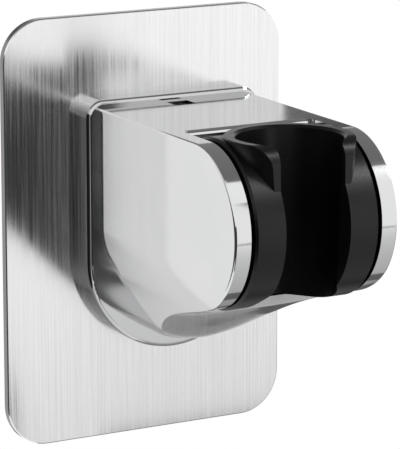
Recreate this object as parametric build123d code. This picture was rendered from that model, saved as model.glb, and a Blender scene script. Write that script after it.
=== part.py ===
from build123d import *
import math
import os

# Hand shower holder on a stick-on steel plate, in millimetres.
# Y = 0 is the wall face and the holder points along -Y, with Z up.
# X = 0 is the holder's middle plane and Z = 0 the plate's middle height.

# Steel plate and its adhesive pad
plate_width = 71.7
plate_height = 100.0
plate_corner_r = 10.0
plate_thickness = 2.0
plate_edge_chamfer = 0.25
plate_offset_x = -4.8
pad_thickness = 0.8
pad_inset = 0.8

# Wall base: the chrome flange and the plug that carries the body
base_half_width = 22.2
base_top = 31.1
base_corner_r = 4.0
base_round_z = -7.0
base_thickness = 5.4
base_edge_r = 1.0
plug_length = 17.0
plug_wall = 2.2
plug_clearance = 0.15

# Holder body: outline seen along Y, side profile seen along X
body_half_width = 20.1
body_top = 29.5
flank_r = 30.5
flank_z = 1.2
keel_r = 4.5
inner_keel_r = 1.0
nose_r = 18.35
pivot_reach = 51.9
cheek_thickness = 3.9
top_wall = 2.4
floor_wall = 2.4
saddle_wall = 2.0
edge_round = 0.45
chine_round = 0.3
mouth_back = 11.8
mouth_edge_r = 0.9
mouth_lip_r = 1.4
lip_thickness = 1.8

# Crowned underside: its edge line runs from a height at the flange to the nose,
# and is raised and crowned at stations between them
rear_edge_z = -24.0
rear_crown = 1.2
mid_station = 0.44
mid_lift = 0.55
mid_crown = 4.3
front_station = 0.84
front_lift = 0.4
front_crown = 0.6
crown_spread = 0.17

# Snap window in the body's top and the tongue that springs into it
window_width = 5.3
window_length = 4.5
window_from_flange = 1.3
tongue_gap = 0.35
tongue_slot = 0.8
tongue_recess = 1.6

# Swivel cup: barrel, trunnions and the conical seat
barrel_proud = 0.55
barrel_end_gap = 0.95
barrel_chamfer = 0.5
saddle_gap = 0.5
trunnion_r = 5.0
trunnion_length = 2.0
trunnion_clearance = 0.06
socket_end_gap = 0.4
ring_width = 3.0
ring_gap = 0.06
ring_bore_gap = 0.05
cup_forward = 6.2
cup_rise = 0.9
cup_top_bore_r = 11.85
cup_bottom_bore_r = 10.4
cup_wall = 2.55
cup_foot_wall = 1.8
cup_gap = 16.0
cup_lead_in = 0.6
arm_reach = 10.1
arm_round = 4.5
rim_chamfer = 0.3

# Screws that hold the base to the plate
screw_spacing = 30.0
screw_mid_z = 4.0
screw_r = 1.75
screw_head_r = 3.4
screw_length = 8.5
screw_fit = 0.03
screw_hole_gap = 0.25
boss_r = 4.0
boss_cover = 1.7
pilot_extra = 0.5

# Places that follow from the sizes above
plate_front = pad_thickness + plate_thickness
flange_front = plate_front + base_thickness
pivot_depth = plate_front + pivot_reach
pivot_z = body_top - nose_r
pocket_half = body_half_width - cheek_thickness
barrel_r = nose_r + barrel_proud
barrel_half = pocket_half - barrel_end_gap
saddle_r = barrel_r + saddle_gap
cup_depth = pivot_depth + cup_forward
rim_z = body_top + cup_rise
rear_rise = pivot_z - rear_edge_z
rear_run = pivot_depth - flange_front
slope = math.atan2(rear_rise, rear_run) - math.asin(nose_r / math.hypot(rear_rise, rear_run))
tangent_depth = pivot_depth + nose_r * math.sin(slope)
tangent_z = pivot_z - nose_r * math.cos(slope)
flank_x = flank_r - body_half_width
far = 5 * nose_r
window_rear = flange_front + window_from_flange
pilot_end = pad_thickness + screw_length + pilot_extra
boss_end = pilot_end + boss_cover


def prism(sketch, rear, depth):
    """Stand a sketch up facing the front and pull it out from one depth."""
    return extrude(Plane.XZ.offset(rear) * sketch, amount=depth)


def block(half_x, near, deep, low, high):
    """A box across the middle plane between two depths and two heights."""
    size = Box(2 * half_x, deep - near, high - low)
    return Pos(0, -(near + deep) / 2, (low + high) / 2) * size


def cross_cylinder(radius, half_length):
    """A cylinder about the tilt axis, centred on the middle plane."""
    return Pos(0, -pivot_depth, pivot_z) * Rot(0, 90, 0) * Cylinder(radius, 2 * half_length)


def plate_sketch(inset):
    size = RectangleRounded(plate_width - 2 * inset, plate_height - 2 * inset, plate_corner_r - inset)
    return Pos(plate_offset_x, 0) * size


def base_sketch(inset):
    half = base_half_width - inset
    top = base_top - inset
    round_end = Pos(0, base_round_z) * Circle(half)
    upper = Pos(0, (top + base_round_z) / 2) * Rectangle(2 * half, top - base_round_z)
    outline = round_end + upper
    return fillet(outline.vertices().group_by(Axis.Y)[-1], base_corner_r - inset)


def body_sketch(side_inset, top_inset):
    """Flat top, straight cheeks and two flank arcs that meet in a round keel."""
    radius = flank_r - side_inset
    half = body_half_width - side_inset
    top = body_top - top_inset
    flanks = Pos(flank_x, flank_z) * Circle(radius) & Pos(-flank_x, flank_z) * Circle(radius)
    flanks = flanks & Pos(0, flank_z - radius / 2) * Rectangle(2 * radius, radius)
    outline = flanks + Pos(0, (top + flank_z) / 2) * Rectangle(2 * half, top - flank_z)
    return fillet(outline.vertices().group_by(Axis.Y)[0], max(keel_r - side_inset, inner_keel_r))


def flank_half_width(z):
    """Half width of the body's outline at one height."""
    if z >= flank_z:
        return body_half_width
    return math.sqrt(flank_r**2 - (z - flank_z) ** 2) - flank_x


def underside_section(share, lift, crown, wall):
    """Everything below the crowned underside at one station, a wall's thickness higher up."""
    depth = flange_front + share * (tangent_depth - flange_front)
    edge_z = tangent_z - (tangent_depth - depth) * math.tan(slope) + lift
    edge_x = flank_half_width(edge_z)
    outer_x = body_half_width + nose_r / 4
    outer_z = edge_z + (outer_x - edge_x) * crown * crown_spread
    low = -3 * nose_r - wall
    hull = Spline(
        (-outer_x, outer_z), (-edge_x, edge_z), (0, edge_z - crown), (edge_x, edge_z), (outer_x, outer_z)
    )
    sides = Polyline((outer_x, outer_z), (outer_x, low), (-outer_x, low), (-outer_x, outer_z))
    face = make_face(hull.edges() + sides.edges())
    return Plane.XZ.offset(depth) * Pos(0, wall) * face


def underside_tool(wall):
    """The space under the keel floor, from the flange to where the nose begins."""
    stations = (
        (0.0, 0.0, rear_crown),
        (mid_station, mid_lift, mid_crown),
        (front_station, front_lift, front_crown),
        (1.0, 0.0, 0.0),
    )
    return loft([underside_section(*station, wall) for station in stations])


def make_pad():
    return prism(plate_sketch(pad_inset), 0, pad_thickness)


def screw_places():
    for side in (-1, 1):
        yield Pos(0, 0, screw_mid_z + side * screw_spacing / 2)


def along_screw(solid):
    """Turn a solid made along +Z so that it points to the front."""
    return Rot(90, 0, 0) * solid


def make_plate():
    plate = prism(plate_sketch(0), pad_thickness, plate_thickness)
    plate = chamfer(plate.faces().sort_by(Axis.Y)[0].edges(), plate_edge_chamfer)
    for place in screw_places():
        shank = Cylinder(screw_r + screw_hole_gap, far)
        sink_depth = screw_head_r - screw_r
        sink = Cone(screw_head_r + screw_hole_gap, screw_r + screw_hole_gap, sink_depth)
        sink = Pos(0, 0, pad_thickness + sink_depth / 2) * sink
        plate -= place * along_screw(shank + sink)
    return plate


def make_screws():
    """Countersunk screws, flush with the plate's back."""
    group = []
    for place in screw_places():
        sink_depth = screw_head_r - screw_r
        head = Pos(0, 0, sink_depth / 2) * Cone(screw_head_r, screw_r, sink_depth)
        shank = Pos(0, 0, screw_length / 2) * Cylinder(screw_r, screw_length)
        drive = Pos(0, 0, sink_depth / 4) * Box(screw_r * 2, screw_r / 3, sink_depth / 2)
        drive += Rot(0, 0, 90) * drive
        group.append(place * along_screw(Pos(0, 0, pad_thickness) * (head + shank - drive)))
    return Compound(children=[screw.solid() for screw in group])


def make_base():
    flange = prism(base_sketch(0), plate_front, base_thickness)
    flange = fillet(flange.faces().sort_by(Axis.Y)[0].edges(), base_edge_r)
    outer_side = cheek_thickness + plug_clearance
    outer_top = top_wall + plug_clearance
    plug = prism(body_sketch(outer_side, outer_top), flange_front, plug_length)
    plug -= prism(body_sketch(outer_side + plug_wall, outer_top + plug_wall), flange_front, plug_length)
    plug -= underside_tool(floor_wall + plug_clearance)
    tongue_half = window_width / 2 - tongue_gap
    for side in (-1, 1):
        slot = block(tongue_slot / 2, flange_front + plug_wall, far, body_top - nose_r / 2, far)
        plug -= Pos(side * (tongue_half + tongue_slot / 2), 0, 0) * slot
    tooth_near = window_rear + tongue_gap
    tooth_far = window_rear + window_length - tongue_gap
    tooth_low = body_top - outer_top - plug_wall
    tooth = block(tongue_half, tooth_near, tooth_far, tooth_low, body_top - tongue_recess)
    base = flange + plug + tooth
    for place in screw_places():
        boss = Pos(0, 0, (plate_front + boss_end) / 2) * Cylinder(boss_r, boss_end - plate_front)
        pilot = Cylinder(screw_r + screw_fit, 2 * pilot_end)
        base += place * along_screw(boss)
        base -= place * along_screw(pilot)
    return base


def make_body():
    """Round-edged nose and deck over a crowned keel, hollowed out from the flange."""
    outline = prism(body_sketch(0, 0), flange_front, far)
    nose = outline & cross_cylinder(nose_r, far)
    rims = [edge for edge in nose.edges() if edge.geom_type != GeomType.LINE]
    nose = fillet([edge for edge in rims if abs((edge @ 0.5).X) > pocket_half], edge_round)
    deck = outline & block(far, flange_front, pivot_depth, pivot_z, body_top)
    deck = fillet(deck.edges().filter_by(Axis.Y).group_by(Axis.Z)[-1], edge_round)
    keel = outline & block(far, flange_front, tangent_depth, -far, pivot_z)
    keel -= underside_tool(0)
    chines = [edge for edge in keel.edges() if edge.geom_type != GeomType.LINE and edge.length > nose_r]
    chines = [edge for edge in chines if flange_front + keel_r < -(edge @ 0.5).Y < tangent_depth - keel_r]
    keel = fillet(chines, chine_round)
    shell = nose + deck + keel
    core = prism(body_sketch(cheek_thickness, top_wall), flange_front, far)
    core -= underside_tool(floor_wall)
    core -= cross_cylinder(saddle_r + saddle_wall, far)
    core &= block(far, flange_front, pivot_depth, -far, far)
    shell -= core
    mouth_z = pivot_z + math.sqrt(saddle_r**2 - mouth_back**2)
    mouth_depth = pivot_depth - mouth_back
    mouth = block(pocket_half, mouth_depth, far, mouth_z, far)
    mouth = fillet(mouth.edges().filter_by(Axis.Z).group_by(Axis.Y)[-1], mouth_edge_r)
    lip_angle = math.acos(nose_r / (saddle_r + lip_thickness))
    lip_depth = tangent_depth - nose_r * math.tan(lip_angle) * math.cos(slope)
    shell -= mouth
    lip_rear = mouth_depth - mouth_lip_r
    lip_low = body_top - mouth_lip_r
    roll = block(pocket_half - mouth_edge_r, lip_rear, mouth_depth + mouth_lip_r, lip_low, far)
    roll -= Pos(0, -lip_rear, lip_low) * Rot(0, 90, 0) * Cylinder(mouth_lip_r, 2 * far)
    shell -= roll
    shell -= block(pocket_half, pivot_depth, far, pivot_z, far)
    shell -= cross_cylinder(saddle_r, pocket_half)
    shell -= block(pocket_half, lip_depth, far, -far, pivot_z)
    window = block(window_width / 2, window_rear, window_rear + window_length, body_top - 2 * top_wall, far)
    shell -= window
    shell -= cross_cylinder(trunnion_r + trunnion_clearance, pocket_half + trunnion_length + socket_end_gap)
    return shell


def make_cup():
    barrel = cross_cylinder(barrel_r, barrel_half)
    barrel = chamfer(barrel.edges().filter_by(GeomType.CIRCLE), barrel_chamfer)
    foot_z = pivot_z - barrel_r
    tall = rim_z - foot_z
    seat = Pos(0, -cup_depth, (rim_z + foot_z) / 2)
    sleeve = seat * Cone(cup_bottom_bore_r + cup_foot_wall, cup_top_bore_r + cup_wall, tall)
    sleeve = chamfer(sleeve.edges().group_by(Axis.Z)[-1], rim_chamfer)
    arms = block(far, 0, cup_depth + arm_reach, pivot_z, rim_z)
    arms = fillet(arms.edges().filter_by(Axis.X).group_by(Axis.Y)[0].group_by(Axis.Z)[-1], arm_round)
    sleeve &= arms
    cup = barrel + sleeve
    cup += cross_cylinder(trunnion_r, pocket_half + trunnion_length)
    cup -= seat * Cone(cup_bottom_bore_r, cup_top_bore_r, tall)
    taper = (cup_top_bore_r - cup_bottom_bore_r) / tall
    lead = Cone(cup_top_bore_r - taper * cup_lead_in, cup_top_bore_r + cup_lead_in, cup_lead_in)
    cup -= Pos(0, -cup_depth, rim_z - cup_lead_in / 2) * lead
    cup -= block(cup_gap / 2, cup_depth, far, -far, far)
    return cup


def make_ring(side):
    ring = Cylinder(trunnion_r + ring_bore_gap + ring_width, barrel_end_gap - ring_gap)
    ring -= Cylinder(trunnion_r + ring_bore_gap, far)
    middle = barrel_half + (barrel_end_gap - ring_gap) / 2
    return Pos(side * middle, -pivot_depth, pivot_z) * Rot(0, 90, 0) * ring


pieces = {
    "adhesive_pad": make_pad(),
    "backing_plate": make_plate(),
    "base_screws": make_screws(),
    "wall_base": make_base(),
    "holder_body": make_body(),
    "swivel_cup": make_cup(),
    "friction_ring_left": make_ring(-1),
    "friction_ring_right": make_ring(1),
}

os.makedirs("parts", exist_ok=True)
for name, piece in pieces.items():
    export_step(piece, f"parts/{name}.step")
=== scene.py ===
import math

import bpy
from mathutils import Matrix, Vector


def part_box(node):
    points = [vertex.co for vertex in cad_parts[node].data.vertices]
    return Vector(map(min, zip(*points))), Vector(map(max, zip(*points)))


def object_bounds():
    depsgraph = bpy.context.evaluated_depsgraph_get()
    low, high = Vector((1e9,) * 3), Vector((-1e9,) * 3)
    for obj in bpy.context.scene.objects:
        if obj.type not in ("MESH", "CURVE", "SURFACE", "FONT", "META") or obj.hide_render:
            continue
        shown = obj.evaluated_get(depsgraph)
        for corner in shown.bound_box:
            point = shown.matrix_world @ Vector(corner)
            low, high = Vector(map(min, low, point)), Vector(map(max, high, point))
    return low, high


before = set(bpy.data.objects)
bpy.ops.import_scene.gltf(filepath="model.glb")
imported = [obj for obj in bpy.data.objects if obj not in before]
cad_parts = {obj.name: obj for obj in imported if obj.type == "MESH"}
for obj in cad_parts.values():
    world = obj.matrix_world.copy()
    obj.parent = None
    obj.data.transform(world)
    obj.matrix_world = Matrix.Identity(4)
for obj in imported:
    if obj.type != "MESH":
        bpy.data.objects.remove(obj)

cad_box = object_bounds()

# Camera, matched to the photograph. Lengths are in metres and angles in degrees.
CAMERA_AZIMUTH = -28.59
CAMERA_ELEVATION = 12.82
CAMERA_DISTANCE = 0.690
AIM_RIGHT_OF_PLATE = 0.01409
AIM_BELOW_PLATE = 0.00096
LENS = 236.05
SENSOR = 36.0
CLIP_START = 0.01

# Noise: the part of its range that is used, and a stretch that is the same on all axes
NOISE_LOW = 0.3
NOISE_HIGH = 0.7
EVEN = (1.0, 1.0, 1.0)

# Brushed steel: streaks along Z, roughness steps below and above the mean, anisotropy, and
# painted shade on the edge faces, which fades out as a face turns to look along Y
STREAK_STRETCH = (1.0, 1.0, 0.012)
STREAK_SIZE = 2600.0
STREAK_DETAIL = 3.0
STREAK_SMOOTHER = 0.03
STREAK_ROUGHER = 0.05
STREAK_BUMP = 0.06
STREAK_DEPTH = 0.00004
BRUSHING = 0.9
PAINTED_EDGE_SHADE = (0.22, 0.22, 0.225, 1.0)
PAINTED_EDGE_FULL = 0.3
PAINTED_EDGE_ENDS = 0.6

# Chrome: a slight haze, as steps from the mean shade and roughness
HAZE_SIZE = 60.0
HAZE_DULL = (-0.02, -0.015, -0.01)
HAZE_BRIGHT = (0.02, 0.02, 0.025)
HAZE_ROUGH = 0.015
GRAZING_TINT = (0.80, 0.80, 0.80, 1.0)

# Wall base: depth at which the plug inside the body is painted black as shade, just in front of
# the flange, and the painted shade of its sides, weighed by how far a face looks sideways and
# up
RECESS_SHADE_STARTS = -0.0084
RECESS_SHADE_BLEND = 0.0001
PAINTED_RECESS_SHADE = (0.006, 0.006, 0.006, 1.0)
PAINTED_SIDE_SHADE = (0.16, 0.16, 0.16, 1.0)
SIDEWAYS_WEIGHT = 0.95
UPWARD_WEIGHT = -0.30
PAINTED_SIDE_STARTS = 0.40
PAINTED_SIDE_FULL = 0.85

# Plastic, foam and rubber: cloudy shade and fine grain
PLASTIC_IOR = 1.40
CLOUD_SIZE = 180.0
GRAIN_SIZE = 5000.0
GRAIN_SMOOTHER = 0.04
GRAIN_ROUGHER = 0.05
GRAIN_BUMP = 0.12
GRAIN_DEPTH = 0.00003

# Studio: floor, surroundings and key lamp
FLOOR_DROP = 0.25
FLOOR_SIZE = 6.0
FLOOR_SHADE = 0.85
FLOOR_GLOW = 1.0
WORLD_SHADE = 0.62
WORLD_WHITE = 1.0
KEY_PLACE = (0.667, -0.394, 0.656)
KEY_TARGET = (0.0, -0.04, 0.0)
KEY_SIZE = 0.2
KEY_POWER = 4.0

# Studio cards: centre, the vectors across and along, and the glow at both ends of the second
CARDS = {
    "front_left_black": (
        (-0.0436, -0.150, -0.0275), (0.1072, 0.0, 0.0), (0.0, 0.0, 0.105), 0.045, 0.045),
    "front_left_grey": (
        (-0.015, -0.150, -0.0875), (0.09, 0.0, 0.0), (0.0, 0.0, 0.015), 0.12, 0.12),
    "canopy_grey": (
        (0.3, 0.5, 0.5), (1.8, 0.0, 0.0), (0.0, 1.5, 0.0), 0.16, 0.30),
    "under_sweep": (
        (0.485, -0.42, -0.2), (0.83, 0.0, 0.0), (0.0, -0.75, 0.0), 0.50, 1.0),
    "under_back_dark": (
        (0.4, 0.28, -0.2), (0.8, 0.0, 0.0), (0.0, 0.65, 0.0), 0.14, 0.14),
    "under_plate_grey": (
        (0.030, -0.024, -0.062), (0.060, 0.0, 0.0), (0.0, -0.034, 0.0), 0.40, 0.40),
    "far_floor_grey": (
        (0.376, -0.702, -0.195), (0.11, 0.0, 0.0), (0.0, -0.09, 0.0), 0.26, 0.26),
    "deck_right_dark": (
        (0.254, 0.30, 0.118), (0.09, 0.0, 0.0), (0.0, 0.0, 0.055), 0.1, 0.1),
    "front_deck_dark": (
        (0.047, -0.150, 0.0625), (0.022, 0.0, 0.0), (0.0, 0.0, 0.035), 0.1, 0.1),
    "left_dark": (
        (-0.35, -0.09, -0.075), (0.0, 0.76, 0.0), (0.0, 0.0, 0.35), 0.05, 0.05),
}

# The black card's lower left corner is cut off by this share of its sides
CUT_CARD = "front_left_black"
CARD_CUT = 0.3


def view_axes(azimuth, elevation):
    """Right, up and back directions of a camera at two angles."""
    a = math.radians(azimuth)
    e = math.radians(elevation)
    right = Vector((math.cos(a), math.sin(a), 0.0))
    back = Vector((math.sin(a) * math.cos(e), -math.cos(a) * math.cos(e), math.sin(e)))
    return right, back.cross(right), back


def plate_centre():
    """Point on the wall face behind the middle of the backing plate."""
    low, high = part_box("backing_plate")
    middle = (Vector(low) + Vector(high)) / 2
    return Vector((middle.x, 0.0, middle.z))


def add_camera():
    right, up, back = view_axes(CAMERA_AZIMUTH, CAMERA_ELEVATION)
    aim = plate_centre() + right * AIM_RIGHT_OF_PLATE - up * AIM_BELOW_PLATE
    data = bpy.data.cameras.new("camera")
    data.lens = LENS
    data.sensor_width = SENSOR
    data.clip_start = CLIP_START
    camera = bpy.data.objects.new("camera", data)
    bpy.context.collection.objects.link(camera)
    turn = Matrix((right, up, back)).transposed().to_4x4()
    camera.matrix_world = Matrix.Translation(aim + back * CAMERA_DISTANCE) @ turn
    bpy.context.scene.camera = camera


class Nodes:
    """Short helper that adds nodes to one material and links them."""

    def __init__(self, name):
        self.material = bpy.data.materials.new(name)
        self.material.use_nodes = True
        self.tree = self.material.node_tree
        self.shader = self.tree.nodes["Principled BSDF"]
        self.output = self.tree.nodes["Material Output"]

    def add(self, kind, **settings):
        node = self.tree.nodes.new(kind)
        for key, value in settings.items():
            if key in node.inputs:
                node.inputs[key].default_value = value
            else:
                setattr(node, key, value)
        return node

    def link(self, source, target):
        self.tree.links.new(source, target)

    def set(self, **values):
        """Plain values of the shader, with an underscore for each space in a name."""
        for key, value in values.items():
            self.shader.inputs[key.replace("_", " ")].default_value = value

    def split(self, kind):
        """X, Y and Z of the object's coordinates ("Object") or of its normals ("Normal")."""
        where = self.add("ShaderNodeTexCoord")
        parts = self.add("ShaderNodeSeparateXYZ")
        self.link(where.outputs[kind], parts.inputs["Vector"])
        return parts.outputs

    def noise(self, stretch, size, detail=2.0):
        """Noise in object coordinates that are stretched by a scale for each axis."""
        where = self.add("ShaderNodeTexCoord")
        place = self.add("ShaderNodeMapping", Scale=stretch)
        node = self.add("ShaderNodeTexNoise", Scale=size, Detail=detail)
        self.link(where.outputs["Object"], place.inputs["Vector"])
        self.link(place.outputs["Vector"], node.inputs["Vector"])
        return node.outputs["Fac"]

    def maths(self, operation, source, factor=0.0, added=None):
        """One operation on an output, with a plain factor and, where given, an added output."""
        node = self.add("ShaderNodeMath", operation=operation)
        self.link(source, node.inputs[0])
        node.inputs[1].default_value = factor
        if added is not None:
            self.link(added, node.inputs[2])
        return node.outputs[0]

    def spread(self, source, low, high, start=NOISE_LOW, end=NOISE_HIGH):
        """Stretch a value that runs from start to end between two numbers."""
        node = self.add("ShaderNodeMapRange")
        node.inputs["From Min"].default_value = start
        node.inputs["From Max"].default_value = end
        node.inputs["To Min"].default_value = low
        node.inputs["To Max"].default_value = high
        self.link(source, node.inputs["Value"])
        return node.outputs["Result"]

    def shades(self, source, dark, light):
        """Colour between two shades, by a noise value."""
        ramp = self.add("ShaderNodeValToRGB")
        ramp.color_ramp.elements[0].position = NOISE_LOW
        ramp.color_ramp.elements[1].position = NOISE_HIGH
        ramp.color_ramp.elements[0].color = (*dark, 1.0)
        ramp.color_ramp.elements[1].color = (*light, 1.0)
        self.link(source, ramp.inputs["Fac"])
        return ramp.outputs["Color"]

    def mix(self, factor, first, second):
        """Blend a colour output towards one plain colour."""
        node = self.add("ShaderNodeMix", data_type="RGBA")
        self.link(factor, node.inputs["Factor"])
        self.link(first, node.inputs[6])
        node.inputs[7].default_value = second
        return node.outputs[2]

    def painted_edge_mask(self):
        """Painted edge shade: one on the faces that don't look along Y, and nought on those
        that do.
        """
        size = self.maths("ABSOLUTE", self.split("Normal")["Y"])
        return self.spread(size, 1.0, 0.0, PAINTED_EDGE_FULL, PAINTED_EDGE_ENDS)

    def bump(self, source, strength, distance):
        node = self.add("ShaderNodeBump", Strength=strength, Distance=distance)
        self.link(source, node.inputs["Height"])
        self.link(node.outputs["Normal"], self.shader.inputs["Normal"])


def brushed_steel(name, dark, light, rough):
    """Steel brushed upright: fine streaks that run along Z, with painted shade on the edge
    faces.
    """
    m = Nodes(name)
    m.set(Metallic=1.0, Anisotropic=BRUSHING)
    fine = m.noise(STREAK_STRETCH, STREAK_SIZE, STREAK_DETAIL)
    # Painted shade: faces that don't look along Y are darkened in the base colour
    shade = m.mix(m.painted_edge_mask(), m.shades(fine, dark, light), PAINTED_EDGE_SHADE)
    m.link(shade, m.shader.inputs["Base Color"])
    uneven = m.spread(fine, rough - STREAK_SMOOTHER, rough + STREAK_ROUGHER)
    m.link(uneven, m.shader.inputs["Roughness"])
    m.bump(fine, STREAK_BUMP, STREAK_DEPTH)
    lie = m.add("ShaderNodeTangent", direction_type="RADIAL", axis="X")
    m.link(lie.outputs["Tangent"], m.shader.inputs["Tangent"])
    return m.material


def hazy_chrome(name, shade, rough):
    """Nodes of bright chrome plate with a slight haze, and their colour output."""
    m = Nodes(name)
    m.set(Metallic=1.0, Specular_Tint=GRAZING_TINT)
    haze = m.noise(EVEN, HAZE_SIZE)
    dull = [shade + step for step in HAZE_DULL]
    bright = [shade + step for step in HAZE_BRIGHT]
    uneven = m.spread(haze, rough - HAZE_ROUGH, rough + HAZE_ROUGH)
    m.link(uneven, m.shader.inputs["Roughness"])
    return m, m.shades(haze, dull, bright)


def chrome(name, shade, rough):
    m, tint = hazy_chrome(name, shade, rough)
    m.link(tint, m.shader.inputs["Base Color"])
    return m.material


def chrome_with_painted_shade(name, shade, rough):
    """Chrome with painted shade, darker on the flange's sides and black on the plug inside the
    body.
    """
    m, tint = hazy_chrome(name, shade, rough)
    # Painted shade: faces that look sideways, and less so those that look up, are darkened
    facing = m.split("Normal")
    upward = m.maths("MULTIPLY", facing["Z"], UPWARD_WEIGHT)
    sideways = m.maths("ABSOLUTE", facing["X"])
    painted_side_mask = m.maths("MULTIPLY_ADD", sideways, SIDEWAYS_WEIGHT, upward)
    tint = m.mix(m.spread(painted_side_mask, 0.0, 1.0, PAINTED_SIDE_STARTS, PAINTED_SIDE_FULL), tint, PAINTED_SIDE_SHADE)
    # Painted shade: behind this depth the plug in the body's recess is coloured black
    depth = m.split("Object")["Y"]
    recess_shade = m.spread(depth, 1.0, 0.0, RECESS_SHADE_STARTS, RECESS_SHADE_STARTS + RECESS_SHADE_BLEND)
    m.link(m.mix(recess_shade, tint, PAINTED_RECESS_SHADE), m.shader.inputs["Base Color"])
    return m.material


def satin_plastic(name, dark, light, rough):
    """Plastic, foam or rubber with a cloudy shade and a fine grain."""
    m = Nodes(name)
    m.set(IOR=PLASTIC_IOR)
    cloud = m.noise(EVEN, CLOUD_SIZE)
    grain = m.noise(EVEN, GRAIN_SIZE)
    m.link(m.shades(cloud, dark, light), m.shader.inputs["Base Color"])
    uneven = m.spread(grain, rough - GRAIN_SMOOTHER, rough + GRAIN_ROUGHER)
    m.link(uneven, m.shader.inputs["Roughness"])
    m.bump(grain, GRAIN_BUMP, GRAIN_DEPTH)
    return m.material


def dress():
    """Give each piece its material: shades are dark and light, then the roughness."""
    rubber = satin_plastic("ring_rubber", (0.010, 0.010, 0.010), (0.016, 0.016, 0.016), 0.7)
    looks = {
        "adhesive_pad": satin_plastic(
            "pad_foam", (0.42, 0.43, 0.44), (0.50, 0.51, 0.52), 0.85),
        "backing_plate": brushed_steel(
            "plate_steel", (0.84, 0.84, 0.84), (0.95, 0.95, 0.95), 0.125),
        "base_screws": brushed_steel(
            "screw_steel", (0.50, 0.50, 0.51), (0.60, 0.60, 0.61), 0.32),
        # Painted shade: the wall base's chrome is a darker copy of the body's chrome
        "wall_base": chrome_with_painted_shade("base_chrome", 0.62, 0.07),
        "holder_body": chrome("body_chrome", 0.75, 0.10),
        "swivel_cup": satin_plastic(
            "cup_black", (0.003, 0.003, 0.0035), (0.006, 0.006, 0.0065), 0.30),
        "friction_ring_left": rubber,
        "friction_ring_right": rubber,
    }
    for node, material in looks.items():
        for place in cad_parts[node].material_slots:
            place.material = material


def seen_directly(tree):
    """One for rays from the camera, from gloss or through glass, and nought for light."""
    path = tree.nodes.new("ShaderNodeLightPath")
    total = path.outputs["Is Camera Ray"]
    for name in ("Is Glossy Ray", "Is Transmission Ray"):
        most = tree.nodes.new("ShaderNodeMath")
        most.operation = "MAXIMUM"
        tree.links.new(total, most.inputs[0])
        tree.links.new(path.outputs[name], most.inputs[1])
        total = most.outputs[0]
    return total


def stage_white(name, shade, shown):
    """A diffuse stage shade that the camera sees as one flat brightness."""
    m = Nodes(name)
    m.set(Roughness=1.0, Base_Color=(shade, shade, shade, 1.0))
    glow = m.add("ShaderNodeEmission", Strength=shown)
    mix = m.add("ShaderNodeMixShader")
    m.link(seen_directly(m.tree), mix.inputs["Fac"])
    m.link(m.shader.outputs["BSDF"], mix.inputs[1])
    m.link(glow.outputs["Emission"], mix.inputs[2])
    m.link(mix.outputs["Shader"], m.output.inputs["Surface"])
    return m.material


def card_glow(name, first, last):
    """Glow that runs from one strength to another along a card's second side."""
    m = Nodes(name)
    glow = m.add("ShaderNodeEmission")
    strength = m.spread(m.split("Object")["Y"], first, last, -0.5, 0.5)
    m.link(strength, glow.inputs["Strength"])
    m.link(glow.outputs["Emission"], m.output.inputs["Surface"])
    return m.material


def add_card(name, centre, across, along, first, last):
    """A flat card that glows softly, seen only in reflections."""
    mesh = bpy.data.meshes.new(name)
    corners = [(0.5, -0.5, 0), (0.5, 0.5, 0), (-0.5, 0.5, 0)]
    if name == CUT_CARD:
        corners += [(-0.5, CARD_CUT - 0.5, 0), (CARD_CUT - 0.5, -0.5, 0)]
    else:
        corners += [(-0.5, -0.5, 0)]
    mesh.from_pydata(corners, [], [tuple(range(len(corners)))])
    card = bpy.data.objects.new(name, mesh)
    bpy.context.collection.objects.link(card)
    across = Vector(across)
    along = Vector(along)
    normal = across.cross(along).normalized()
    turn = Matrix((across, along, normal)).transposed().to_4x4()
    card.matrix_world = Matrix.Translation(centre) @ turn
    mesh.materials.append(card_glow(name + "_glow", first, last))
    card.visible_camera = False


def add_floor():
    low = cad_box[0]
    mesh = bpy.data.meshes.new("floor")
    half = FLOOR_SIZE / 2
    level = low[2] - FLOOR_DROP
    sides = [(-half, -half), (half, -half), (half, half), (-half, half)]
    mesh.from_pydata([(x, y, level) for x, y in sides], [], [(0, 1, 2, 3)])
    floor = bpy.data.objects.new("floor", mesh)
    bpy.context.collection.objects.link(floor)
    mesh.materials.append(stage_white("floor_pale", FLOOR_SHADE, FLOOR_GLOW))


def add_world():
    """Surroundings that are white to the camera and in gloss, and dimmer as diffuse light."""
    world = bpy.data.worlds.new("studio")
    world.use_nodes = True
    bpy.context.scene.world = world
    tree = world.node_tree
    back = tree.nodes["Background"]
    level = tree.nodes.new("ShaderNodeMapRange")
    level.inputs["To Min"].default_value = WORLD_SHADE
    level.inputs["To Max"].default_value = WORLD_WHITE
    tree.links.new(seen_directly(tree), level.inputs["Value"])
    tree.links.new(level.outputs["Result"], back.inputs["Strength"])
    back.inputs["Color"].default_value = (1.0, 1.0, 1.0, 1.0)


def add_key_lamp():
    data = bpy.data.lights.new("key", "AREA")
    data.size = KEY_SIZE
    data.energy = KEY_POWER
    lamp = bpy.data.objects.new("key", data)
    bpy.context.collection.objects.link(lamp)
    lamp.location = KEY_PLACE
    towards = Vector(KEY_TARGET) - Vector(KEY_PLACE)
    lamp.rotation_euler = towards.to_track_quat("-Z", "Y").to_euler()


def light():
    add_world()
    add_floor()
    add_key_lamp()
    for name, card in CARDS.items():
        add_card(name, *card)


bpy.context.scene.view_settings.view_transform = "Standard"
add_camera()
dress()
light()
